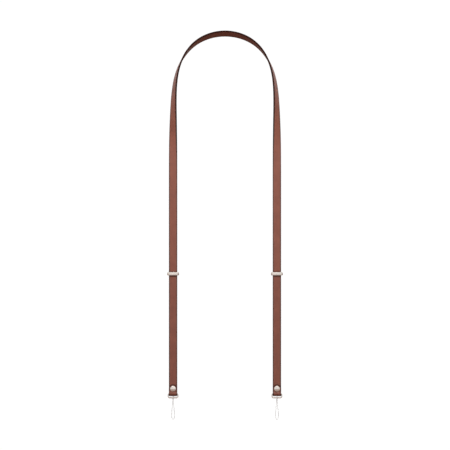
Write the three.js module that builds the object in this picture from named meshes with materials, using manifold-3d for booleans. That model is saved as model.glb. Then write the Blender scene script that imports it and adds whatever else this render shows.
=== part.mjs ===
/*
 * A phone crossbody strap, in millimetres, with +Z up, +X to the wearer's left and -Y to the front.
 *
 * One leather band hangs in an arch. Its crown lies behind the neck, and its two legs come forward over
 * the shoulders and hang straight down. Each leg passes through a metal slider and ends in a fold round
 * the top bar of a ring. The end comes up in front of the leg as a short round tab, and a snap holds the
 * two layers. A thin cord loop for the phone hangs from each ring.
 *
 * The origin is the middle of the crown's inner face, where the strap lies on the neck. "left" is -X.
 */
import * as THREE from "three";
import { mergeVertices } from "three/addons/utils/BufferGeometryUtils.js";
import Module from "manifold-3d";

// ---------------------------------------------------------------- driving dimensions

const GAP = 0.3; // kept between neighbouring pieces

const BAND = { width: 15, thickness: 3, edgeCut: 0.5 };

// The band from the middle of the crown to the straight leg. along is the length of leather from the
// crown, heading how steeply it falls as seen from the front, lean how far it slopes forward, and turn
// how far its outer face is turned away from the front (0 faces the front, 90 faces the side).
const BAND_ROUTE = [
  { along: 0, heading: 0, lean: 0, turn: 122.5 },
  { along: 40, heading: 26, lean: 12.5, turn: 114.5 },
  { along: 80, heading: 52.9, lean: 21, turn: 97.5 },
  { along: 110, heading: 68.1, lean: 23.5, turn: 83 },
  { along: 140, heading: 80, lean: 22, turn: 70 },
  { along: 170, heading: 86.6, lean: 18, turn: 58.5 },
  { along: 200, heading: 89.2, lean: 13.5, turn: 47.5 },
  { along: 230, heading: 89.6, lean: 9, turn: 35 },
  { along: 260, heading: 90, lean: 5, turn: 22 },
  { along: 290, heading: 90, lean: 2, turn: 9 },
  { along: 330, heading: 90, lean: 0, turn: 0 },
];
const SECTION_STEP = 7.5; // length of leather between two sections of the arch
const WALK_STEP = 0.5; // the step that adds the route up

const SLIDER = {
  height: -435.6,
  width: 21.6,
  depth: 7.2,
  tall: 6,
  cornerRadius: 3.2, // seen from above
  frontRadius: 2, // seen from the front
  slotRadius: 0.5,
  bevel: 0.7,
};

const SNAP = {
  height: -640.7,
  capRadius: 5.35,
  capEdge: 0.2,
  rimHeight: 0.5,
  flatRadius: 3,
  domeHeight: 2,
  postRadius: 1.5,
  backRadius: 5,
  backThickness: 1.2,
  backEdge: 0.4,
};
const DOME_ANGLES = [25, 50, 72]; // degrees up the cap's rounded shoulder
const ROUND_SIDES = { cap: 24, back: 20, hole: 16 };

const RING = {
  foldBottom: -654, // lowest point of the leather that is folded round the top bar
  bottom: -658,
  depth: 1.8,
  topBar: 1.7,
  sideBar: 1.8,
  bottomBar: 2.5,
  topRadius: 2.6,
  bottomRadius: 3.6,
  bevel: 0.4,
  foldRoom: 0.4, // between the top bar and the leather that folds round it
};
const FOLD_RADIUS = RING.topBar / 2 + RING.foldRoom; // inside of the leather's fold
const FOLD_SECTIONS = 10;
const SPREAD_SECTIONS = 5;
const TAB_END_ANGLES = [0, 20, 38, 54, 68, 80]; // degrees round the tab's half-circle end

const CORD_DIAMETER = 0.9;
const CORD_SIDES = 8;
const CORD_STEPS = 72;
// The cord's middle, from the middle of the ring's bottom bar: over the bar, down in front of it, round
// the open loop, and up behind it again.
const CORD_ROUTE = [
  { across: -0.1, depth: -0.15, height: 2 },
  { across: -0.3, depth: -0.85, height: 1.9 },
  { across: -0.5, depth: -1.5, height: 1.35 },
  { across: -0.6, depth: -1.95, height: 0 },
  { across: -0.6, depth: -1.45, height: -2.4 },
  { across: -0.65, depth: -0.5, height: -4.8 },
  { across: -0.7, depth: -0.1, height: -8 },
  { across: -1, depth: 0, height: -12.2 },
  { across: -1.4, depth: 0, height: -16.6 },
  { across: -2, depth: 0, height: -21.4 },
  { across: -2.35, depth: 0, height: -26.2 },
  { across: -2.6, depth: 0, height: -30.6 },
  { across: -2.5, depth: 0, height: -34.2 },
  { across: -1.55, depth: 0, height: -37.6 },
  { across: 0, depth: 0, height: -38.7 },
  { across: 1.55, depth: 0, height: -37.6 },
  { across: 2.5, depth: 0, height: -34.2 },
  { across: 2.6, depth: 0, height: -30.6 },
  { across: 2.35, depth: 0, height: -26.2 },
  { across: 2, depth: 0, height: -21.4 },
  { across: 1.4, depth: 0, height: -16.6 },
  { across: 1, depth: 0, height: -12.2 },
  { across: 0.7, depth: 0.1, height: -8 },
  { across: 0.65, depth: 0.5, height: -4.8 },
  { across: 0.6, depth: 1.45, height: -2.4 },
  { across: 0.6, depth: 1.95, height: 0 },
  { across: 0.5, depth: 1.5, height: 1.35 },
  { across: 0.3, depth: 0.85, height: 1.9 },
  { across: 0.1, depth: 0.15, height: 2 },
];

const leather = new THREE.MeshStandardMaterial({
  color: 0x83503f,
  roughness: 0.6,
  metalness: 0,
});
const polishedMetal = new THREE.MeshStandardMaterial({
  color: 0xe5dcd2,
  roughness: 0.25,
  metalness: 1,
});
const whiteCord = new THREE.MeshStandardMaterial({
  color: 0xebebe9,
  roughness: 0.7,
  metalness: 0,
});

// ---------------------------------------------------------------- solids and sections

const wasm = await Module();
wasm.setup();

function toSolid(geometry) {
  const bare = geometry.clone();
  bare.deleteAttribute("normal");
  bare.deleteAttribute("uv");
  const merged = mergeVertices(bare, 1e-4);
  const mesh = new wasm.Mesh({
    numProp: 3,
    vertProperties: merged.attributes.position.array,
    triVerts: new Uint32Array(merged.index.array),
  });
  return new wasm.Manifold(mesh);
}

function toGeometry(solid) {
  const mesh = solid.getMesh();
  const geometry = new THREE.BufferGeometry();
  geometry.setAttribute("position", new THREE.BufferAttribute(mesh.vertProperties, 3));
  geometry.setIndex(new THREE.BufferAttribute(mesh.triVerts, 1));
  geometry.computeVertexNormals();
  return geometry;
}

// A closed skin over a row of outlines that have the same number of corners, with flat ends.
function loft(outlines) {
  const corners = outlines[0].length;
  const faces = [];
  for (let row = 0; row + 1 < outlines.length; row++) {
    for (let i = 0; i < corners; i++) {
      const j = (i + 1) % corners;
      const [a, b] = [row * corners + i, row * corners + j];
      const [c, d] = [a + corners, b + corners];
      faces.push(a, b, d, a, d, c);
    }
  }
  const lastRow = (outlines.length - 1) * corners;
  for (let i = 1; i + 1 < corners; i++) {
    faces.push(0, i + 1, i, lastRow, lastRow + i, lastRow + i + 1);
  }
  const geometry = new THREE.BufferGeometry().setFromPoints(outlines.flat());
  geometry.setIndex(faces);
  geometry.computeVertexNormals();
  return geometry;
}

// A rounded rectangle that is even about x = 0 and runs from low to high, drawn into a Shape or a Path.
function roundedRectangle(path, width, { low, high, lowRadius, highRadius }) {
  const x = width / 2;
  path.moveTo(-x + lowRadius, low);
  path.lineTo(x - lowRadius, low);
  path.absarc(x - lowRadius, low + lowRadius, lowRadius, -Math.PI / 2, 0);
  path.lineTo(x, high - highRadius);
  path.absarc(x - highRadius, high - highRadius, highRadius, 0, Math.PI / 2);
  path.lineTo(-x + highRadius, high);
  path.absarc(-x + highRadius, high - highRadius, highRadius, Math.PI / 2, Math.PI);
  path.lineTo(-x, low + lowRadius);
  path.absarc(-x + lowRadius, low + lowRadius, lowRadius, Math.PI, Math.PI * 1.5);
  return path;
}

function lathe(profile, sides) {
  return new THREE.LatheGeometry(
    profile.map(([radius, height]) => new THREE.Vector2(radius, height)),
    sides,
  );
}

function named(name, geometry, material) {
  const mesh = new THREE.Mesh(geometry, material);
  mesh.name = name;
  return mesh;
}

// ---------------------------------------------------------------- the band's route

const FRONT = new THREE.Vector3(0, -1, 0);

// One column of the route as a smooth curve. heading and lean change sign past the crown, turn doesn't.
function routeColumn(column, along) {
  const sign = column === "turn" ? 1 : -1;
  const rows = BAND_ROUTE;
  const beforeCrown = { along: -rows[1].along, [column]: sign * rows[1][column] };
  const slopeAt = (i) => {
    if (i === rows.length - 1) return 0;
    const [before, here, after] = [rows[i - 1] ?? beforeCrown, rows[i], rows[i + 1]];
    const [left, right] = [here.along - before.along, after.along - here.along];
    const leftSlope = (here[column] - before[column]) / left;
    const rightSlope = (after[column] - here[column]) / right;
    return (leftSlope * right + rightSlope * left) / (left + right);
  };
  const last = rows.findLastIndex((row) => row.along <= along);
  if (last === rows.length - 1) return rows[last][column];
  const [start, end] = [rows[last], rows[last + 1]];
  const span = end.along - start.along;
  const t = (along - start.along) / span;
  return (
    (2 * t ** 3 - 3 * t ** 2 + 1) * start[column] +
    (t ** 3 - 2 * t ** 2 + t) * span * slopeAt(last) +
    (3 * t ** 2 - 2 * t ** 3) * end[column] +
    (t ** 3 - t ** 2) * span * slopeAt(last + 1)
  );
}

function directionAt(along) {
  const heading = THREE.MathUtils.degToRad(routeColumn("heading", along));
  const lean = THREE.MathUtils.degToRad(routeColumn("lean", along));
  return new THREE.Vector3(
    -Math.cos(heading) * Math.cos(lean),
    -Math.sin(lean),
    -Math.sin(heading) * Math.cos(lean),
  );
}

// A station is a place on the band's middle line: its point, the way its outer face looks, the way its
// width runs, and half its width there.
function stationAt(along, point) {
  const direction = directionAt(along);
  const turn = THREE.MathUtils.degToRad(routeColumn("turn", along));
  const front = FRONT.clone().addScaledVector(direction, -FRONT.dot(direction)).normalize();
  const side = direction.clone().cross(front);
  const outer = front.multiplyScalar(Math.cos(turn)).addScaledVector(side, Math.sin(turn));
  const across = direction.clone().cross(outer);
  return { point: point.clone(), outer, across, halfWidth: BAND.width / 2 };
}

function archStations() {
  const length = BAND_ROUTE.at(-1).along;
  const crown = stationAt(0, new THREE.Vector3());
  const point = crown.outer.clone().multiplyScalar(BAND.thickness / 2);
  const stations = [];
  for (let along = 0; along <= length; along += WALK_STEP) {
    if (along % SECTION_STEP === 0) stations.push(stationAt(along, point));
    point.addScaledVector(directionAt(along + WALK_STEP / 2), WALK_STEP);
  }
  return stations;
}

// ---------------------------------------------------------------- the fold round the ring

const arch = archStations();
const LEG = arch.at(-1).point; // the straight leg's middle line is here, as far down as the snap
const layerPitch = BAND.thickness + GAP;
const foldDepth = LEG.y - layerPitch / 2; // the plane of the ring
const foldMiddleRadius = FOLD_RADIUS + BAND.thickness / 2;
const topBarHeight = RING.foldBottom + FOLD_RADIUS + BAND.thickness;
const spreadHeight = SNAP.height - SNAP.capRadius; // below it the two layers part to let the bar in

function endStation(depth, height, angle, halfWidth = BAND.width / 2) {
  return {
    point: new THREE.Vector3(LEG.x, depth, height),
    outer: new THREE.Vector3(0, -Math.cos(angle), Math.sin(angle)),
    across: arch.at(-1).across,
    halfWidth,
  };
}

// One of the layers between the snap and the bar: side is 1 for the leg, -1 for the tab.
function spreadStation(share, side) {
  const ease = share * share * (3 - 2 * share);
  const drop = topBarHeight - spreadHeight;
  const move = foldMiddleRadius - layerPitch / 2;
  const slope = (6 * share * (1 - share) * move) / -drop;
  const depth = foldDepth + side * (layerPitch / 2 + move * ease);
  const bend = -Math.atan(slope);
  return endStation(depth, spreadHeight + drop * share, side > 0 ? bend : Math.PI - bend);
}

function foldStations() {
  const stations = [];
  for (let i = 0; i < SPREAD_SECTIONS; i++) stations.push(spreadStation(i / SPREAD_SECTIONS, 1));
  for (let i = 0; i <= FOLD_SECTIONS; i++) {
    const angle = (Math.PI * i) / FOLD_SECTIONS;
    const depth = foldDepth + foldMiddleRadius * Math.cos(angle);
    stations.push(endStation(depth, topBarHeight - foldMiddleRadius * Math.sin(angle), angle));
  }
  for (let i = SPREAD_SECTIONS - 1; i >= 0; i--) stations.push(spreadStation(i / SPREAD_SECTIONS, -1));
  for (const degrees of TAB_END_ANGLES) {
    const angle = THREE.MathUtils.degToRad(degrees);
    const height = SNAP.height + (BAND.width / 2) * Math.sin(angle);
    stations.push(
      endStation(LEG.y - layerPitch, height, Math.PI, (BAND.width / 2) * Math.cos(angle)),
    );
  }
  return stations;
}

// ---------------------------------------------------------------- the pieces

function bandOutline({ point, outer, across, halfWidth }) {
  const [w, t, cut] = [halfWidth, BAND.thickness / 2, BAND.edgeCut];
  const corners = [
    [w - cut, -t],
    [w, -t + cut],
    [w, t - cut],
    [w - cut, t],
    [cut - w, t],
    [-w, t - cut],
    [-w, cut - t],
    [cut - w, -t],
  ];
  return corners.map(([u, v]) =>
    point.clone().addScaledVector(across, u).addScaledVector(outer, v),
  );
}

function strapBand() {
  const leftHalf = [...arch, ...foldStations()].map(bandOutline);
  const rightHalf = leftHalf.map((outline) =>
    outline.map((corner) => new THREE.Vector3(-corner.x, corner.y, corner.z)),
  );
  let band = toSolid(loft([...leftHalf.reverse(), ...rightHalf.slice(1)]));
  const [radius, length] = [SNAP.postRadius + GAP, 4 * BAND.thickness];
  for (const x of [LEG.x, -LEG.x]) {
    const hole = new THREE.CylinderGeometry(radius, radius, length, ROUND_SIDES.hole);
    band = band.subtract(toSolid(hole.translate(x, foldDepth, SNAP.height)));
  }
  return named("strap_band", toGeometry(band), leather);
}

// An outline with its hole, extruded along Z about z = 0 with rounded edges.
function extruded(outline, hole, height, bevel) {
  outline.holes.push(hole);
  const geometry = new THREE.ExtrudeGeometry(outline, {
    depth: height - 2 * bevel,
    bevelThickness: bevel,
    bevelSize: bevel,
    bevelOffset: -bevel,
    bevelSegments: 2,
    curveSegments: 5,
  });
  return geometry.translate(0, 0, bevel - height / 2);
}

function slider() {
  const around = (size, radius) => ({
    low: -size / 2,
    high: size / 2,
    lowRadius: radius,
    highRadius: radius,
  });
  const outline = around(SLIDER.depth, SLIDER.cornerRadius);
  const slot = around(BAND.thickness + 2 * GAP, SLIDER.slotRadius);
  const loop = extruded(
    roundedRectangle(new THREE.Shape(), SLIDER.width, outline),
    roundedRectangle(new THREE.Path(), BAND.width + 2 * GAP, slot),
    SLIDER.tall,
    SLIDER.bevel,
  );
  const front = around(SLIDER.tall, SLIDER.frontRadius);
  const seenFromFront = new THREE.ExtrudeGeometry(
    roundedRectangle(new THREE.Shape(), SLIDER.width, front),
    { depth: 2 * SLIDER.depth, bevelEnabled: false, curveSegments: 5 },
  )
    .rotateX(Math.PI / 2)
    .translate(0, SLIDER.depth, 0);
  const rounded = toSolid(loop).intersect(toSolid(seenFromFront));
  return toGeometry(rounded).translate(LEG.x, LEG.y, SLIDER.height);
}

function ring() {
  const insideWidth = BAND.width + 2 * GAP;
  const outside = {
    low: RING.bottom,
    high: topBarHeight + RING.topBar / 2,
    lowRadius: RING.bottomRadius,
    highRadius: RING.topRadius,
  };
  const inside = {
    low: outside.low + RING.bottomBar,
    high: outside.high - RING.topBar,
    lowRadius: RING.bottomRadius - RING.bottomBar,
    highRadius: RING.topRadius - RING.sideBar,
  };
  return extruded(
    roundedRectangle(new THREE.Shape(), insideWidth + 2 * RING.sideBar, outside),
    roundedRectangle(new THREE.Path(), insideWidth, inside),
    RING.depth,
    RING.bevel,
  )
    .rotateX(Math.PI / 2)
    .translate(LEG.x, foldDepth, 0);
}

function snapCap() {
  const post = layerPitch + BAND.thickness + GAP; // ends just short of the back disc
  const [edge, rim, top, flat] = [SNAP.capRadius, SNAP.rimHeight, SNAP.domeHeight, SNAP.flatRadius];
  const stem = [[0, -post], [SNAP.postRadius, -post], [SNAP.postRadius, 0]];
  const side = [[edge - SNAP.capEdge, 0], [edge, SNAP.capEdge], [edge, rim]];
  const shoulder = DOME_ANGLES.map((degrees) => {
    const angle = THREE.MathUtils.degToRad(degrees);
    return [flat + (edge - flat) * Math.cos(angle), rim + (top - rim) * Math.sin(angle)];
  });
  const profile = [...stem, ...side, ...shoulder, [flat, top], [0, top]];
  const leatherFront = LEG.y - layerPitch - BAND.thickness / 2;
  return lathe(profile, ROUND_SIDES.cap)
    .rotateZ(Math.PI)
    .translate(LEG.x, leatherFront - GAP, SNAP.height);
}

function snapBack() {
  const [radius, thick, edge] = [SNAP.backRadius, SNAP.backThickness, SNAP.backEdge];
  const profile = [[0, 0], [radius, 0], [radius, thick - edge], [radius - edge, thick], [0, thick]];
  const leatherBack = LEG.y + BAND.thickness / 2;
  return lathe(profile, ROUND_SIDES.back).translate(LEG.x, leatherBack + GAP, SNAP.height);
}

function phoneLoop() {
  const barHeight = RING.bottom + RING.bottomBar / 2;
  const points = CORD_ROUTE.map(
    ({ across, depth, height }) =>
      new THREE.Vector3(LEG.x + across, foldDepth + depth, barHeight + height),
  );
  const section = new THREE.Shape();
  for (let i = 0; i < CORD_SIDES; i++) {
    const angle = (2 * Math.PI * i) / CORD_SIDES;
    const [x, y] = [Math.cos(angle), Math.sin(angle)].map((v) => (v * CORD_DIAMETER) / 2);
    if (i) section.lineTo(x, y);
    else section.moveTo(x, y);
  }
  return new THREE.ExtrudeGeometry(section, {
    steps: CORD_STEPS,
    extrudePath: new THREE.CatmullRomCurve3(points),
    bevelEnabled: false,
  });
}

// Both sides of a fitting: the one made on the left leg, and the same one moved to the right leg.
function bothSides(name, geometry, material) {
  const left = named(name + "_left", geometry, material);
  const right = named(name + "_right", geometry, material);
  right.position.x = -2 * LEG.x;
  return [left, right];
}

const strap = new THREE.Group();
strap.add(
  strapBand(),
  ...bothSides("slider", slider(), polishedMetal),
  ...bothSides("snap_cap", snapCap(), polishedMetal),
  ...bothSides("snap_back", snapBack(), polishedMetal),
  ...bothSides("ring", ring(), polishedMetal),
  ...bothSides("phone_loop", phoneLoop(), whiteCord),
);

export default strap;
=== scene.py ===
"""A phone crossbody strap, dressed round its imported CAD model.

The scene is in metres, with +Z up, +X to the wearer's left and -Y to the front. The tables are in
millimetres, like the part's source, and MM turns them into metres. After the camera and the materials,
the strap is made in four sections: cords, leather band, metal loops and snaps. The stage comes last.
"""

import math

import bmesh
import bpy
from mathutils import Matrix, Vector

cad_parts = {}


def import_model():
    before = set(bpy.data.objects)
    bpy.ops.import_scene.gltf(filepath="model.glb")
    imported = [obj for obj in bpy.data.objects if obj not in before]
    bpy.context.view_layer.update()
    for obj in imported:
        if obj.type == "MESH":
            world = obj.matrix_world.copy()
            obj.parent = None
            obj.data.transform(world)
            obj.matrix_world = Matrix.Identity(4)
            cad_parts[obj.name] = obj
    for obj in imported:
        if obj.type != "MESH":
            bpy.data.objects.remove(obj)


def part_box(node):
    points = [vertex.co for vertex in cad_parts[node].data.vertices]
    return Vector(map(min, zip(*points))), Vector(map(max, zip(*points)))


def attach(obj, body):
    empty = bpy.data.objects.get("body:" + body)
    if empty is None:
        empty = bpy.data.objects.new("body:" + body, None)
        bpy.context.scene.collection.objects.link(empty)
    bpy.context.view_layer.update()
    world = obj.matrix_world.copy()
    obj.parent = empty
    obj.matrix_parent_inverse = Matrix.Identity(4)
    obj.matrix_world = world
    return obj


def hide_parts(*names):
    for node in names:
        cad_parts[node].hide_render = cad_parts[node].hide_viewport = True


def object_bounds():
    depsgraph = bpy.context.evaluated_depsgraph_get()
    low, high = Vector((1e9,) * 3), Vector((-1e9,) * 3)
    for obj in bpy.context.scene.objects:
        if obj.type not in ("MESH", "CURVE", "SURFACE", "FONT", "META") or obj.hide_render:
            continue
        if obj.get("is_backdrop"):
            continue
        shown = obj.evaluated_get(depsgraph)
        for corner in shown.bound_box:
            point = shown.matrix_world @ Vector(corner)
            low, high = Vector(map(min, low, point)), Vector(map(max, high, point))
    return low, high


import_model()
cad_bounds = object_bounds()

MM = 0.001
SIDES = {"left": 1, "right": -1}  # the sign that turns a left-hand x into this side's x
RING_WALLS = {"top": 1.7, "side": 1.8, "bottom": 2.5, "depth": 1.8}


def middle(node):
    low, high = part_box(node)
    return (low + high) / 2


LEG = middle("slider_left")  # the leg's middle line, at the slider's height
SNAP = middle("snap_back_left")
KEEPER_LOW, KEEPER_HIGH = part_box("slider_left")
RING_LOW, RING_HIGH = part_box("ring_left")
RING = (RING_LOW + RING_HIGH) / 2
RING_SIZE = RING_HIGH - RING_LOW

# ---------------------------------------------------------------- camera

VIEW_DISTANCE = 3.0  # from the plane of the legs
VIEW_HEIGHT = -0.3486
VIEW_WIDTH = 0.8037  # what the frame takes in, side to side, at the plane of the legs

camera_data = bpy.data.cameras.new("camera")
camera_data.lens = camera_data.sensor_width * VIEW_DISTANCE / VIEW_WIDTH
camera = bpy.data.objects.new("camera", camera_data)
camera.location = (0, LEG.y - VIEW_DISTANCE, VIEW_HEIGHT)
camera.rotation_euler = (math.radians(90), 0, 0)
bpy.context.scene.collection.objects.link(camera)
bpy.context.scene.camera = camera


# ---------------------------------------------------------------- mesh helpers


def mesh_object(name, points, faces, material, floats=None):
    """A smooth mesh object. floats holds named point attributes, a number for each point."""
    mesh = bpy.data.meshes.new(name)
    mesh.from_pydata([tuple(p) for p in points], [], faces)
    for key, values in (floats or {}).items():
        mesh.attributes.new(key, "FLOAT", "POINT").data.foreach_set("value", values)
    mesh.polygons.foreach_set("use_smooth", [True] * len(mesh.polygons))
    mesh.materials.append(material)
    mesh.validate()
    mesh.update()
    thing = bpy.data.objects.new(name, mesh)
    bpy.context.scene.collection.objects.link(thing)
    return thing


def ring_faces(rings, size, closed_rings=False):
    """Quads between rings of the same size. With closed_rings the last ring meets the first."""
    faces = []
    for row in range(rings if closed_rings else rings - 1):
        below, above = row * size, (row + 1) % rings * size
        for i in range(size):
            j = (i + 1) % size
            faces.append((below + i, below + j, above + j, above + i))
    return faces


def arc(centre, radius, start, end, steps):
    """Points of a circle's arc in a plane, from start to end in degrees, both included."""
    angles = [math.radians(start + (end - start) * i / steps) for i in range(steps + 1)]
    return [(centre[0] + radius * math.cos(a), centre[1] + radius * math.sin(a)) for a in angles]


def finish_piece(piece, slot, *nodes):
    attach(piece, "root")
    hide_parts(*nodes)


# ---------------------------------------------------------------- materials


NOISE_BAND = (0.3, 0.7)  # most of a noise texture's values lie in here
NARROW_BAND = (0.35, 0.65)


class Nodes:
    """A node tree, with a short way to add a node and to link it up."""

    def __init__(self, tree):
        self.tree = tree

    def add(self, kind, values=None, **settings):
        node = self.tree.nodes.new("ShaderNode" + kind)
        for key, value in settings.items():
            setattr(node, key, value)
        for key, value in (values or {}).items():
            if isinstance(value, bpy.types.NodeSocket):
                self.tree.links.new(value, node.inputs[key])
            else:
                node.inputs[key].default_value = value
        return node

    def place(self):
        return self.add("TexCoord").outputs["Object"]

    def noise(self, scale, detail=3.0):
        values = {"Vector": self.place(), "Scale": scale, "Detail": detail}
        return self.add("TexNoise", values).outputs["Fac"]

    def remap(self, value, low, high, new_low, new_high):
        node = self.add(
            "MapRange",
            {
                "Value": value,
                "From Min": low,
                "From Max": high,
                "To Min": new_low,
                "To Max": new_high,
            },
        )
        return node.outputs["Result"]

    def spread(self, noise, new_low, new_high, band=NOISE_BAND):
        """The noise with its usual band of values stretched to the new one."""
        return self.remap(noise, *band, new_low, new_high)

    def math(self, operation, a, b=0.0):
        return self.add("Math", {0: a, 1: b}, operation=operation).outputs["Value"]

    def mix(self, share, a, b):
        node = self.add("Mix", data_type="RGBA")
        for socket, value in (("Factor_Float", share), ("A_Color", a), ("B_Color", b)):
            target = next(s for s in node.inputs if s.identifier == socket)
            if isinstance(value, bpy.types.NodeSocket):
                self.tree.links.new(value, target)
            elif isinstance(value, tuple):
                target.default_value = (*value, 1)
            else:
                target.default_value = value
        return next(s for s in node.outputs if s.identifier == "Result_Color")

    def bump(self, height, strength, distance, below=None):
        values = {"Height": height, "Strength": strength, "Distance": distance}
        if below:
            values["Normal"] = below
        return self.add("Bump", values).outputs["Normal"]


class Finish(Nodes):
    """A material, by the nodes round its shader."""

    def __init__(self, name, roughness, metallic=0.0):
        self.material = bpy.data.materials.new(name)
        self.material.use_nodes = True
        super().__init__(self.material.node_tree)
        self.shader = self.tree.nodes["Principled BSDF"]
        self.shader.inputs["Roughness"].default_value = roughness
        self.shader.inputs["Metallic"].default_value = metallic

    def drive(self, socket, value):
        self.tree.links.new(value, self.shader.inputs[socket])


LEATHER_LIGHT = (0.24, 0.069, 0.038)
LEATHER_DARK = (0.2, 0.054, 0.029)
LEATHER_BURNISHED = (0.10, 0.03, 0.019)
EDGE_PAINT = (0.028, 0.008, 0.005)
LOWER_LEG_SHADE = 0.4  # painted shade: how much of the dark tone the leather takes on below the keepers, where it catches less sheen than above them
LOWER_LEG_SHADE_FADE = 4 * MM
# Painted shadow and shade: the leather is darkest just below the keeper, where its shadow falls, a
# little darker just above it, and darker where it curves round the ring's top bar.
KEEPER_SHADOW = {"below": 1.2, "fade_below": 3.6 * MM, "above": 0.5, "fade_above": 3 * MM}
# Painted shade where the leather curves round the ring's top bar.
FOLD_SHADE = {"share": 0.17, "fade": 4 * MM}
# The colour of the painted shadow and shade.
LEATHER_SHADOW = (0.024, 0.007, 0.005)
PAINT_REACH = 1.95 * MM  # how far the paint comes round from the middle of the edge
BURNISH_REACH = 3.7 * MM


PAINT_LINE = 0.15 * MM  # half the width of the blur where the paint ends
EDGE_WANDER = {"scale": 420, "by": 0.1 * MM}  # how unevenly the paint and the burnish end
BURNISH_SHARE = 0.9
MOTTLING = {"scale": 55, "detail": 6, "least": 0.1}
GLOSS = {"plain": 0.68, "dull": 0.03}  # the specular level, and what the edge paint and the painted shade bring it down to
ROUGHNESS = {"scale": 130, "detail": 4, "low": 0.46, "high": 0.58}
GRAIN = {"scale": 1500.0, "strength": 0.35, "depth": 0.03 * MM}
FINE_GRAIN = {"scale": 700, "detail": 5, "strength": 0.3, "depth": 0.05 * MM}


def painted_shade_places(n, height):
    """How much painted shade the leather takes at a height: from 0, none, to 1."""
    low, high = KEEPER_LOW.z, KEEPER_HIGH.z
    below = n.remap(height, low - KEEPER_SHADOW["fade_below"], low, 0, KEEPER_SHADOW["below"])
    above = n.remap(height, high, high + KEEPER_SHADOW["fade_above"], KEEPER_SHADOW["above"], 0)
    fold_top = RING_HIGH.z + FOLD_SHADE["fade"]
    fold = n.remap(height, RING_HIGH.z, fold_top, FOLD_SHADE["share"], 0)
    return n.math("MAXIMUM", n.math("MINIMUM", below, above), fold)


def leather_material():
    n = Finish("smooth_brown_leather", roughness=0.5)
    from_edge = n.add("Attribute", attribute_name="from_edge").outputs["Fac"]
    wander = n.spread(n.noise(EDGE_WANDER["scale"]), -EDGE_WANDER["by"], EDGE_WANDER["by"])
    reach = n.math("ADD", from_edge, wander)
    height = n.add("SeparateXYZ", {0: n.place()}).outputs["Z"]
    # Painted shade: the leather below the keepers is darker, standing in for the sheen that the leg
    # above them catches.
    lower_leg_shade = n.remap(height, LEG.z - LOWER_LEG_SHADE_FADE, LEG.z + LOWER_LEG_SHADE_FADE, LOWER_LEG_SHADE, 0)
    patches = n.noise(MOTTLING["scale"], MOTTLING["detail"])
    mottling_and_shade = n.math("SUBTRACT", n.spread(patches, MOTTLING["least"], 1, NARROW_BAND), lower_leg_shade)
    tone = n.mix(mottling_and_shade, LEATHER_DARK, LEATHER_LIGHT)
    burnished = n.remap(reach, PAINT_REACH, BURNISH_REACH, BURNISH_SHARE, 0)
    # Painted shadow under the keeper, and painted shade above it and round the ring's bar.
    painted_shade = painted_shade_places(n, height)
    burnished_and_shaded = n.mix(painted_shade, n.mix(burnished, tone, LEATHER_BURNISHED), LEATHER_SHADOW)
    painted = n.remap(reach, PAINT_REACH - PAINT_LINE, PAINT_REACH + PAINT_LINE, 1, 0)
    n.drive("Base Color", n.mix(painted, burnished_and_shaded, EDGE_PAINT))
    # The painted shade, like the edge paint, takes away most of the sheen.
    dull = n.math("MAXIMUM", painted, painted_shade)
    n.drive("Specular IOR Level", n.remap(dull, 0, 1, GLOSS["plain"], GLOSS["dull"]))
    patina = n.noise(ROUGHNESS["scale"], ROUGHNESS["detail"])
    n.drive("Roughness", n.spread(patina, ROUGHNESS["low"], ROUGHNESS["high"]))
    cells = n.add("TexVoronoi", {"Vector": n.place(), "Scale": GRAIN["scale"]}).outputs["Distance"]
    grain = n.bump(cells, GRAIN["strength"], GRAIN["depth"])
    pores = n.noise(FINE_GRAIN["scale"], FINE_GRAIN["detail"])
    n.drive("Normal", n.bump(pores, FINE_GRAIN["strength"], FINE_GRAIN["depth"], grain))
    return n.material


METAL_WARM = (0.84, 0.76, 0.69)
METAL_COOL = (0.79, 0.74, 0.69)
METAL_TINT_SCALE = 160
METAL_POLISH = {"scale": 900, "detail": 4, "low": 0.16, "high": 0.27}
METAL_WAVES = {"scale": 260, "strength": 0.15, "depth": 0.05 * MM}


def metal_material():
    n = Finish("polished_silver_metal", roughness=0.2, metallic=1.0)
    warmth = n.spread(n.noise(METAL_TINT_SCALE), 0, 1, NARROW_BAND)
    n.drive("Base Color", n.mix(warmth, METAL_COOL, METAL_WARM))
    polish = n.noise(METAL_POLISH["scale"], METAL_POLISH["detail"])
    n.drive("Roughness", n.spread(polish, METAL_POLISH["low"], METAL_POLISH["high"]))
    waves = n.noise(METAL_WAVES["scale"])
    n.drive("Normal", n.bump(waves, METAL_WAVES["strength"], METAL_WAVES["depth"]))
    return n.material


CORD_LIGHT = (0.9, 0.9, 0.89)
CORD_SHADE = (0.7, 0.7, 0.69)
STRAND_PITCH = 1.6 * MM  # along the cord, from one turn of a strand to the next
STRAND_BUMP = {"strength": 0.5, "depth": 0.06 * MM}


def cord_material():
    n = Finish("fine_white_cord", roughness=0.65)
    along = n.add("Attribute", attribute_name="along").outputs["Fac"]
    round_about = n.add("Attribute", attribute_name="round_about").outputs["Fac"]
    turns = n.math("DIVIDE", along, STRAND_PITCH)
    lay = n.math("SINE", n.math("MULTIPLY", n.math("ADD", turns, round_about), 2 * math.pi))
    height = n.remap(lay, -1, 1, 0, 1)
    n.drive("Base Color", n.mix(height, CORD_SHADE, CORD_LIGHT))
    n.drive("Normal", n.bump(height, STRAND_BUMP["strength"], STRAND_BUMP["depth"]))
    return n.material


leather = leather_material()
metal = metal_material()
white_cord = cord_material()

# ---------------------------------------------------------------- cords

CORD_DIAMETER = 0.9
CORD_SIDES = 12
CORD_STEP = 0.5
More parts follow.
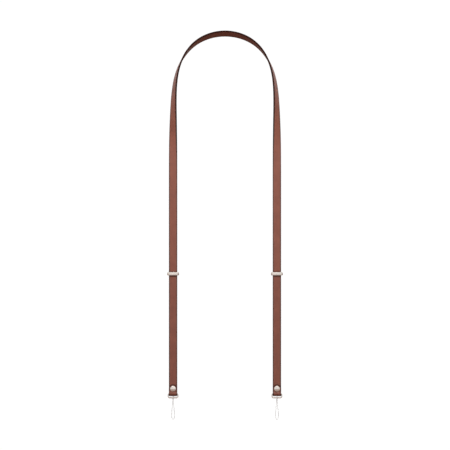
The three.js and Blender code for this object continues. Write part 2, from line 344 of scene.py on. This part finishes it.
# A cord's middle, from the middle of the ring's bottom bar: across, depth, height.
CORD_ROUTE = [
    (-0.1, -0.15, 2),
    (-0.3, -0.85, 1.9),
    (-0.5, -1.5, 1.35),
    (-0.6, -1.95, 0),
    (-0.6, -1.45, -2.4),
    (-0.65, -0.5, -4.8),
    (-0.7, -0.1, -8),
    (-1, 0, -12.2),
    (-1.4, 0, -16.6),
    (-2, 0, -21.4),
    (-2.35, 0, -26.2),
    (-2.6, 0, -30.6),
    (-2.5, 0, -34.2),
    (-1.55, 0, -37.6),
    (0, 0, -38.7),
    (1.55, 0, -37.6),
    (2.5, 0, -34.2),
    (2.6, 0, -30.6),
    (2.35, 0, -26.2),
    (2, 0, -21.4),
    (1.4, 0, -16.6),
    (1, 0, -12.2),
    (0.7, 0.1, -8),
    (0.65, 0.5, -4.8),
    (0.6, 1.45, -2.4),
    (0.6, 1.95, 0),
    (0.5, 1.5, 1.35),
    (0.3, 0.85, 1.9),
    (0.1, 0.15, 2),
]


def smooth_line(points, step):
    """A centripetal Catmull-Rom curve through the points, with points about step apart."""
    ends = [2 * points[0] - points[1], *points, 2 * points[-1] - points[-2]]
    line = [points[0]]
    for p0, p1, p2, p3 in zip(ends, ends[1:], ends[2:], ends[3:]):
        knots = [0.0]
        for a, b in ((p0, p1), (p1, p2), (p2, p3)):
            knots.append(knots[-1] + math.sqrt((b - a).length))
        t0, t1, t2, t3 = knots
        count = max(1, round((p2 - p1).length / step))
        for i in range(1, count + 1):
            t = t1 + (t2 - t1) * i / count
            a1 = p0 * ((t1 - t) / (t1 - t0)) + p1 * ((t - t0) / (t1 - t0))
            a2 = p1 * ((t2 - t) / (t2 - t1)) + p2 * ((t - t1) / (t2 - t1))
            a3 = p2 * ((t3 - t) / (t3 - t2)) + p3 * ((t - t2) / (t3 - t2))
            b1 = a1 * ((t2 - t) / (t2 - t0)) + a2 * ((t - t0) / (t2 - t0))
            b2 = a2 * ((t3 - t) / (t3 - t1)) + a3 * ((t - t1) / (t3 - t1))
            line.append(b1 * ((t2 - t) / (t2 - t1)) + b2 * ((t - t1) / (t2 - t1)))
    return line


def phone_cord(side):
    bar = Vector((RING.x * SIDES[side], RING.y, RING_LOW.z + RING_WALLS["bottom"] / 2 * MM))
    line = smooth_line([bar + Vector(row) * MM for row in CORD_ROUTE], CORD_STEP * MM)
    radius = CORD_DIAMETER / 2 * MM
    points, along, round_about = [], [], []
    length = 0.0
    normal = Vector((1, 0, 0))
    for i, here in enumerate(line):
        before, after = line[max(i - 1, 0)], line[min(i + 1, len(line) - 1)]
        length += (here - before).length
        direction = (after - before).normalized()
        normal = (normal - direction * normal.dot(direction)).normalized()
        other = direction.cross(normal)
        for k in range(CORD_SIDES):
            angle = 2 * math.pi * k / CORD_SIDES
            points.append(here + (normal * math.cos(angle) + other * math.sin(angle)) * radius)
            along.append(length)
            round_about.append(k / CORD_SIDES)
    faces = ring_faces(len(line), CORD_SIDES)
    faces.append(tuple(reversed(range(CORD_SIDES))))
    faces.append(tuple(range(len(points) - CORD_SIDES, len(points))))
    floats = {"along": along, "round_about": round_about}
    cord = mesh_object("cord_" + side, points, faces, white_cord, floats)
    finish_piece(cord, "cord", "phone_loop_" + side)
    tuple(line[0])


for side in SIDES:
    phone_cord(side)

# ---------------------------------------------------------------- leather band

BAND_WIDTH = 15.0
BAND_THICKNESS = 3.0
EDGE_CORNER = 0.6  # radius of the section's corners
EDGE_BULGE = 0.12  # how far the painted edge stands out between its corners
CORNER_CUTS = 5
FACE_DOME = 0.1  # how much thicker the band is along its middle than beside its edges
CREASE = {"in": 2.3, "half": 0.3, "deep": 0.12}  # the line pressed into both faces along the edges
FACE_LAST = 0.7  # where the face has its last point, as a share of the way in to its middle
# Length from the crown, heading, lean and turn, as in the part's source: how steeply the band falls as
# seen from the front, how far it slopes forward, and how far its outer face is turned from the front.
BAND_ROUTE = [
    (0, 0, 0, 122.5),
    (40, 26, 12.5, 114.5),
    (80, 52.9, 21, 97.5),
    (110, 68.1, 23.5, 83),
    (140, 80, 22, 70),
    (170, 86.6, 18, 58.5),
    (200, 89.2, 13.5, 47.5),
    (230, 89.6, 9, 35),
    (260, 90, 5, 22),
    (290, 90, 2, 9),
    (330, 90, 0, 0),
]
HEADING, LEAN, TURN = 1, 2, 3
WALK_STEP = 0.5
ARCH_EVERY = 5  # walk steps from one section of the arch to the next
LEG_STEP = 5.0
SPREAD_STEPS = 10
FOLD_STEPS = 24
TAB_END_STEPS = 14
LAYER_GAP = 0.3
BAR_PLAY = 0.4  # between the ring's top bar and the leather round it
LAYER_PITCH = BAND_THICKNESS + LAYER_GAP  # from the middle of one layer of the fold to the other's
FOLD_RADIUS = RING_WALLS["top"] / 2 + BAR_PLAY + BAND_THICKNESS / 2  # to the middle of the leather
MEETING = 0.002 * MM  # points nearer than this are joined where a tab's end closes
FOLD_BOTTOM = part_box("strap_band")[0].z
BAR_HEIGHT = FOLD_BOTTOM + (FOLD_RADIUS + BAND_THICKNESS / 2) * MM
SPREAD_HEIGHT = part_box("snap_cap_left")[0].z


def route_value(column, along):
    """A column of the route as a smooth curve. Heading and lean change sign past the crown."""
    first = BAND_ROUTE[1]
    sign = 1 if column == TURN else -1
    rows = [(-first[0], *(sign * value for value in first[1:])), *BAND_ROUTE]

    def slope(i):
        if i == len(rows) - 1:
            return 0
        before, here, after = rows[i - 1], rows[i], rows[i + 1]
        left, right = here[0] - before[0], after[0] - here[0]
        left_slope = (here[column] - before[column]) / left
        right_slope = (after[column] - here[column]) / right
        return (left_slope * right + right_slope * left) / (left + right)

    last = max(i for i, row in enumerate(rows) if row[0] <= along)
    if last == len(rows) - 1:
        return rows[last][column]
    start, end = rows[last], rows[last + 1]
    span = end[0] - start[0]
    t = (along - start[0]) / span
    return (
        (2 * t**3 - 3 * t**2 + 1) * start[column]
        + (t**3 - 2 * t**2 + t) * span * slope(last)
        + (3 * t**2 - 2 * t**3) * end[column]
        + (t**3 - t**2) * span * slope(last + 1)
    )


def direction_at(along):
    heading = math.radians(route_value(HEADING, along))
    lean = math.radians(route_value(LEAN, along))
    level = math.cos(lean)
    return Vector((-math.cos(heading) * level, -math.sin(lean), -math.sin(heading) * level))


class Station:
    """A place on the band: its middle, which way it runs, which way its outer face looks, and the angle
    that the section has gone round the tab's half-circle end, which is 0 everywhere else."""

    def __init__(self, point, direction, outer, end_angle=0.0):
        self.point = point
        self.direction = direction
        self.outer = outer
        self.across = direction.cross(outer)
        self.end_angle = end_angle

    def section(self):
        """The section's points, anticlockwise, each with its distance from the middle of an edge."""
        half, thick = BAND_WIDTH / 2, BAND_THICKNESS / 2
        straight = thick - EDGE_CORNER
        corner = []
        for inward, height in arc((-EDGE_CORNER, straight), EDGE_CORNER, 0, 90, CORNER_CUTS):
            distance = straight + EDGE_CORNER * math.pi / 2 * len(corner) / CORNER_CUTS
            corner.append((EDGE_BULGE - inward, height, distance))
        start = corner[-1]
        face = []
        for at, sink in (
            ((start[0] + CREASE["in"] - CREASE["half"]) / 2, 0),
            (CREASE["in"] - CREASE["half"], 0),
            (CREASE["in"], CREASE["deep"]),
            (CREASE["in"] + CREASE["half"], 0),
            (CREASE["in"] + 3 * CREASE["half"], 0),
            (half * FACE_LAST, 0),
        ):
            dome = FACE_DOME / 2 * math.sin(math.pi / 2 * at / half)
            face.append((at, thick + dome - sink, start[2] + at - start[0]))
        upper = [*corner, *face]
        lower = [(inward, -height, distance) for inward, height, distance in reversed(upper)]
        one_side = [*lower, (0, 0, 0), *upper]
        points = []
        for side in (1, -1):
            for inward, height, distance in one_side if side > 0 else reversed(one_side):
                reach = half - inward
                point = (
                    self.point
                    + self.across * (side * reach * math.cos(self.end_angle) * MM)
                    + self.direction * (reach * math.sin(self.end_angle) * MM)
                    + self.outer * (height * MM)
                )
                points.append((point, distance * MM))
        return points


def arch_stations():
    front = Vector((0, -1, 0))
    point = None
    stations = []
    steps = round(BAND_ROUTE[-1][0] / WALK_STEP)
    for step in range(steps + 1):
        along = step * WALK_STEP
        direction = direction_at(along)
        turn = math.radians(route_value(TURN, along))
        facing = (front - direction * front.dot(direction)).normalized()
        outer = facing * math.cos(turn) + direction.cross(facing) * math.sin(turn)
        if point is None:
            point = outer * (BAND_THICKNESS / 2 * MM)
        if step % ARCH_EVERY == 0:
            stations.append(Station(point.copy(), direction, outer))
        point += direction_at(along + WALK_STEP / 2) * (WALK_STEP * MM)
    return stations


def leg_stations(top):
    """The straight leg, from the end of the arch to where its two layers part."""
    drop = top.point.z - SPREAD_HEIGHT
    count = math.ceil(drop / (LEG_STEP * MM))
    down = Vector((0, 0, -1))
    return [
        Station(top.point + down * (drop * i / count), down, Vector((0, -1, 0)))
        for i in range(1, count)
    ]


def end_station(depth, height, angle, end_angle=0.0):
    """angle is 0 on the leg, 90 degrees under the bar, and 180 degrees on the tab in front."""
    outer = Vector((0, -math.cos(angle), math.sin(angle)))
    direction = Vector((0, -math.sin(angle), -math.cos(angle)))
    # outer looks away from the bar: to the front of the leg at 0 and to its back at 180 degrees
    return Station(Vector((LEG.x, depth, height)), direction, outer, end_angle)


def spread_station(share, side):
    """One layer between the snap and the bar: side is 1 for the leg and -1 for the tab."""
    ease = share * share * (3 - 2 * share)
    drop = BAR_HEIGHT - SPREAD_HEIGHT
    move = (FOLD_RADIUS - LAYER_PITCH / 2) * MM
    slope = 6 * share * (1 - share) * move / -drop
    depth = RING.y + side * (LAYER_PITCH / 2 * MM + move * ease)
    bend = -math.atan(slope)
    height = SPREAD_HEIGHT + drop * share
    return end_station(depth, height, bend if side > 0 else math.pi - bend)


def fold_stations():
    shares = [i / SPREAD_STEPS for i in range(SPREAD_STEPS)]
    stations = [spread_station(share, 1) for share in shares]
    for i in range(FOLD_STEPS + 1):
        angle = math.pi * i / FOLD_STEPS
        depth = RING.y + FOLD_RADIUS * math.cos(angle) * MM
        stations.append(end_station(depth, BAR_HEIGHT - FOLD_RADIUS * math.sin(angle) * MM, angle))
    stations += [spread_station(share, -1) for share in reversed(shares)]
    tab_depth = LEG.y - LAYER_PITCH * MM
    for i in range(TAB_END_STEPS + 1):
        end_angle = math.pi / 2 * i / TAB_END_STEPS
        stations.append(end_station(tab_depth, SNAP.z, math.pi, end_angle))
    return stations


def mirrored(point):
    return Vector((-point.x, point.y, point.z))


def leather_band():
    arch = arch_stations()
    half = [station.section() for station in [*arch, *leg_stations(arch[-1]), *fold_stations()]]
    size = len(half[0])
    other = [[(mirrored(p), d) for p, d in section] for section in half[1:]]
    rows = [*reversed(half), *other]
    points = [p for row in rows for p, _ in row]
    from_edge = [d for row in rows for _, d in row]
    faces = ring_faces(len(rows), size)
    band = mesh_object("worn_band", points, faces, leather, {"from_edge": from_edge})
    close_tab_ends(band)
    finish_piece(band, "leather", "strap_band")


def close_tab_ends(band):
    """The two sides of a tab's end meet on its middle line, where their points are joined."""
    mesh = bmesh.new()
    mesh.from_mesh(band.data)
    bmesh.ops.remove_doubles(mesh, verts=mesh.verts, dist=MEETING)
    bmesh.ops.recalc_face_normals(mesh, faces=mesh.faces)
    mesh.to_mesh(band.data)
    mesh.free()


leather_band()

# ---------------------------------------------------------------- metal loops


def rounded_outline(width, low, high, low_radius, high_radius, steps):
    """A rounded rectangle, even about 0, anticlockwise from its lower right corner."""
    half = width / 2
    return [
        *arc((half - low_radius, low + low_radius), low_radius, -90, 0, steps),
        *arc((half - high_radius, high - high_radius), high_radius, 0, 90, steps),
        *arc((high_radius - half, high - high_radius), high_radius, 90, 180, steps),
        *arc((low_radius - half, low + low_radius), low_radius, 180, 270, steps),
    ]


def with_sides(outline, corner_points, side_points):
    """The outline with more points along each of its four straight sides."""
    full = []
    for i, here in enumerate(outline):
        full.append(here)
        if (i + 1) % corner_points:
            continue
        after = outline[(i + 1) % len(outline)]
        for k in range(1, side_points + 1):
            t = k / (side_points + 1)
            full.append((here[0] + (after[0] - here[0]) * t, here[1] + (after[1] - here[1]) * t))
    return full


def wall_section(width, height, inner_radius, outer_radius, steps=5):
    """A wall's rounded section: how far it is out from the hole, and how far along the axis."""
    top = height / 2
    return [
        *arc((inner_radius, inner_radius - top), inner_radius, 180, 270, steps),
        *arc((width - outer_radius, outer_radius - top), outer_radius, 270, 360, steps),
        *arc((width - outer_radius, top - outer_radius), outer_radius, 0, 90, steps),
        *arc((inner_radius, top - inner_radius), inner_radius, 90, 180, steps),
    ]


def closed_loop(name, outer, inner, height, radii, place):
    """A loop of metal between two outlines with matching points. radii gives a wall's two roundings
    from the way that the wall looks, and place turns a point of the outline's plane and a distance
    along the axis into a point of the scene."""
    points = []
    for (ox, oy), (ix, iy) in zip(outer, inner):
        width = math.hypot(ox - ix, oy - iy)
        ux, uy = (ox - ix) / width, (oy - iy) / width
        for out, along in wall_section(width, height, *radii(ux, width)):
            points.append(place(ix + ux * out, iy + uy * out, along))
    size = len(points) // len(outer)
    return mesh_object(name, points, ring_faces(len(outer), size, closed_rings=True), metal)


CORNER_STEPS = 8
KEEPER_SIDE_POINTS = 6
KEEPER = {"width": 21.6, "depth": 7.2, "height": 6.0, "corner": 3.2, "end_rounding": 2.1}
KEEPER_EDGE = 0.55  # the keeper's rounding along its long sides
SLOT = {"width": 15.6, "depth": 3.6, "corner": 0.5, "rounding": 0.3}


def keeper(side):
    depth, slot_depth = KEEPER["depth"] / 2, SLOT["depth"] / 2
    corner, slot_corner = KEEPER["corner"], SLOT["corner"]
    outer = rounded_outline(KEEPER["width"], -depth, depth, corner, corner, CORNER_STEPS)
    inner = rounded_outline(
        SLOT["width"], -slot_depth, slot_depth, slot_corner, slot_corner, CORNER_STEPS
    )
    centre = middle("slider_" + side)

    def radii(sideways, width):
        share = sideways**2
        return SLOT["rounding"], KEEPER_EDGE + (KEEPER["end_rounding"] - KEEPER_EDGE) * share

    def place(x, y, along):
        return centre + Vector((x, y, along)) * MM

    outlines = [with_sides(line, CORNER_STEPS + 1, KEEPER_SIDE_POINTS) for line in (outer, inner)]
    loop = closed_loop("keeper_" + side, *outlines, KEEPER["height"], radii, place)
    finish_piece(loop, "metal", "slider_" + side)


RING_CORNERS = {"top": 2.6, "bottom": 3.6}
RING_SIDE_POINTS = 4
WIRE_ROUNDING = 0.42  # of the wire's thickness


def ring(side):
    width, height = RING_SIZE.x / MM, RING_SIZE.z / MM
    low, high = -height / 2, height / 2
    outer = rounded_outline(
        width, low, high, RING_CORNERS["bottom"], RING_CORNERS["top"], CORNER_STEPS
    )
    inner = rounded_outline(
        width - 2 * RING_WALLS["side"],
        low + RING_WALLS["bottom"],
        high - RING_WALLS["top"],
        RING_CORNERS["bottom"] - RING_WALLS["bottom"],
        RING_CORNERS["top"] - RING_WALLS["side"],
        CORNER_STEPS,
    )
    centre = middle("ring_" + side)

    def radii(_, wall):
        rounding = WIRE_ROUNDING * min(wall, RING_WALLS["depth"])
        return rounding, rounding

    def place(x, z, along):
        return centre + Vector((x, -along, z)) * MM

    outlines = [with_sides(line, CORNER_STEPS + 1, RING_SIDE_POINTS) for line in (outer, inner)]
    loop = closed_loop("wire_" + side, *outlines, RING_WALLS["depth"], radii, place)
    finish_piece(loop, "metal", "ring_" + side)


for side in SIDES:
    keeper(side)
    ring(side)

# ---------------------------------------------------------------- snaps

LATHE_SIDES = 64
AXIS_GAP = 0.001  # how near a turned profile comes to its axis
# The lip is the rounding under the rim. The hollow is how much higher the underside is at the post.
CAP = {"radius": 5.35, "lip": 0.35, "side": 0.4, "hollow": 0.02}
CAP_EDGE = {"in": 0.5, "up": 0.8}  # the rounding from the cap's side to its face
CAP_EDGE_SHARES = (0, 0.12, 0.25, 0.4, 0.55, 0.7, 0.85, 1)  # the points round that rounding
CAP_FACE_SHARES = (0.9, 0.78, 0.65, 0.5, 0.35, 0.18, 0.0002)  # and from it in to the axis
LIP_STEPS = 4
CAP_TILT = math.radians(18.4)  # how far the face slopes where the rounding meets it
POST_RADIUS = 1.5
DISC = {"radius": 5.0, "thickness": 1.4, "foot": 0.25, "rim": 0.6, "rim_drop": 0.1}
RIM_STEPS = 6
EYELET = {"radius": 1.7, "dimple": 0.5}
# The way into the eyelet: how far outside its radius, and how far below the disc's top.
EYELET_EDGE = ((0.6, 0), (0.25, 0.05), (0, 0.2), (-0.3, EYELET["dimple"]))


def lathe(name, profile, centre, facing):
    """profile goes from the axis out and back to it: radius, and height along the way it faces."""
    points = []
    for radius, height in profile:
        for i in range(LATHE_SIDES):
            angle = 2 * math.pi * i / LATHE_SIDES
            spoke = Vector((radius * math.cos(angle), facing * height, radius * math.sin(angle)))
            points.append(centre + spoke * MM)
    faces = ring_faces(len(profile), LATHE_SIDES)
    if facing < 0:
        faces = [tuple(reversed(face)) for face in faces]
    return mesh_object(name, points, faces, metal)


def snap_cap(side):
    back_low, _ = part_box("snap_back_" + side)
    seat = LEG.y - (LAYER_PITCH + BAND_THICKNESS / 2 + FACE_DOME / 2) * MM
    centre = Vector((middle("snap_cap_" + side).x, seat, SNAP.z))
    post = (back_low.y - seat) / MM
    radius, side_height = CAP["radius"], CAP["side"]
    lip = arc((radius - CAP["lip"], CAP["lip"]), CAP["lip"], -90, 0, LIP_STEPS)
    inward, up = CAP_EDGE["in"], CAP_EDGE["up"]
    last = math.atan2(up, inward * math.tan(CAP_TILT))
    edge = [
        (radius - inward * (1 - math.cos(last * share)), side_height + up * math.sin(last * share))
        for share in CAP_EDGE_SHARES
    ]
    face_radius, face_height = edge[-1]
    rise = face_radius * math.tan(CAP_TILT) / 2
    face = [
        (face_radius * share, face_height + rise * (1 - share**2))
        for share in CAP_FACE_SHARES
    ]
    stem = [(AXIS_GAP, -post), (POST_RADIUS, -post), (POST_RADIUS, CAP["hollow"])]
    piece = lathe("dome_" + side, [*stem, *lip, *edge, *face], centre, -1)
    finish_piece(piece, "metal", "snap_cap_" + side)


def snap_disc(side):
    seat = LEG.y + (BAND_THICKNESS + FACE_DOME) / 2 * MM
    centre = Vector((middle("snap_back_" + side).x, seat, SNAP.z))
    radius, thick, foot, rim = DISC["radius"], DISC["thickness"], DISC["foot"], DISC["rim"]
    rim_middle = (radius - rim, thick - DISC["rim_drop"] - rim)
    profile = [
        (AXIS_GAP, 0),
        (radius - foot, 0),
        (radius, foot),
        *arc(rim_middle, rim, 0, 90, RIM_STEPS),
        *((EYELET["radius"] + out, thick - down) for out, down in EYELET_EDGE),
        (AXIS_GAP, thick - EYELET["dimple"]),
    ]
    piece = lathe("disc_" + side, profile, centre, 1)
    finish_piece(piece, "metal", "snap_back_" + side)


for side in SIDES:
    snap_cap(side)
    snap_disc(side)

# ---------------------------------------------------------------- stage

FLOOR_DROP = 0.06  # from the cords down to the floor
FLOOR_SIZE = 60.0
BACKGROUND = (1.03, 1.03, 1.03)  # what the camera sees round the strap
FLOOR_BRIGHT = (1.05, 1.05, 1.05)
FLOOR_CLOUDS = 3
SKY = (0.36, 0.36, 0.36)
GROUND = (0.27, 0.17, 0.14)
GROUND_TOP = -0.28  # the sine of the elevation below which there is only ground
AIM = (0, 0, -0.3)  # where every light looks
# Name, place, size and watts. The lamps light the strap, and it doesn't mirror them.
LAMPS = (
    ("key_softbox", (0, -1.5, 1.05), (1.8, 0.9), 38.5),
    ("back_softbox", (0, 2.6, 0.5), (2.6, 1.6), 32),
)
# The cards are only there for the metal and the leather to mirror.
CARDS = (
    ("high_card", (0, -1.5, 1.05), (2.4, 1.4), 34),
    ("front_card", (0, -6, 0.2), (10, 3), 57),
    ("low_card", (0, -5.5, -2.6), (10, 2.6), 20),
    ("backdrop_card", (0, 3, 1.1), (14, 3), 100),
    ("left_card", (-3.5, 1.5, -0.6), (2.5, 2.5), 11),
    ("right_card", (3.5, 1.5, -0.6), (2.5, 2.5), 11),
)


def floor():
    """A floor of lit white glass, so that nothing casts a shadow on it. It is clear from below."""
    half = FLOOR_SIZE / 2
    corners = [(-half, -half), (half, -half), (half, half), (-half, half)]
    height = cad_bounds[0].z - FLOOR_DROP
    n = Finish("lit_white_glass", roughness=0.9)
    n.shader.inputs["Base Color"].default_value = (0, 0, 0, 1)
    n.shader.inputs["Specular IOR Level"].default_value = 0
    clouds = n.spread(n.noise(FLOOR_CLOUDS), 0, 1)
    n.drive("Emission Color", n.mix(clouds, BACKGROUND, FLOOR_BRIGHT))
    n.shader.inputs["Emission Strength"].default_value = 1
    clear = n.add("BsdfTransparent").outputs["BSDF"]
    from_below = n.add("NewGeometry").outputs["Backfacing"]
    one_way = n.add("MixShader", {0: from_below, 1: n.shader.outputs["BSDF"], 2: clear})
    surface = n.tree.nodes["Material Output"].inputs["Surface"]
    n.tree.links.new(one_way.outputs["Shader"], surface)
    plane = mesh_object("floor", [(x, y, height) for x, y in corners], [(0, 1, 2, 3)], n.material)
    # The strap is lit as over a dark studio floor, so the white one sends it no light.
    plane.visible_diffuse = False
    plane.visible_glossy = False
    plane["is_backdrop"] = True


def world():
    """White to the camera. What lights the strap is a soft sky over a dark, warm ground."""
    scene_world = bpy.data.worlds.new("studio")
    scene_world.use_nodes = True
    n = Nodes(scene_world.node_tree)
    rise = n.add("SeparateXYZ", {0: n.add("TexCoord").outputs["Generated"]}).outputs["Z"]
    light = n.mix(n.remap(rise, GROUND_TOP, 0, 0, 1), GROUND, SKY)
    ray = n.add("LightPath").outputs["Is Camera Ray"]
    background = n.tree.nodes["Background"]
    n.tree.links.new(n.mix(ray, light, BACKGROUND), background.inputs["Color"])
    bpy.context.scene.world = scene_world


def softbox(name, place, size, watts):
    light = bpy.data.lights.new(name, "AREA")
    light.shape = "RECTANGLE"
    light.size, light.size_y = size
    light.energy = watts
    box = bpy.data.objects.new(name, light)
    box.location = place
    box.rotation_euler = (Vector(AIM) - Vector(place)).to_track_quat("-Z", "Y").to_euler()
    box.visible_camera = False
    bpy.context.scene.collection.objects.link(box)
    return box


floor()
world()
for lamp in LAMPS:
    softbox(*lamp).visible_glossy = False
for card in CARDS:
    softbox(*card).visible_diffuse = False

view = bpy.context.scene.view_settings
view.view_transform = "Standard"
view.look = "None"

boxes = {"cad": cad_bounds, "visual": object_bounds()}
{key: [list(corner) for corner in box] for key, box in boxes.items()}
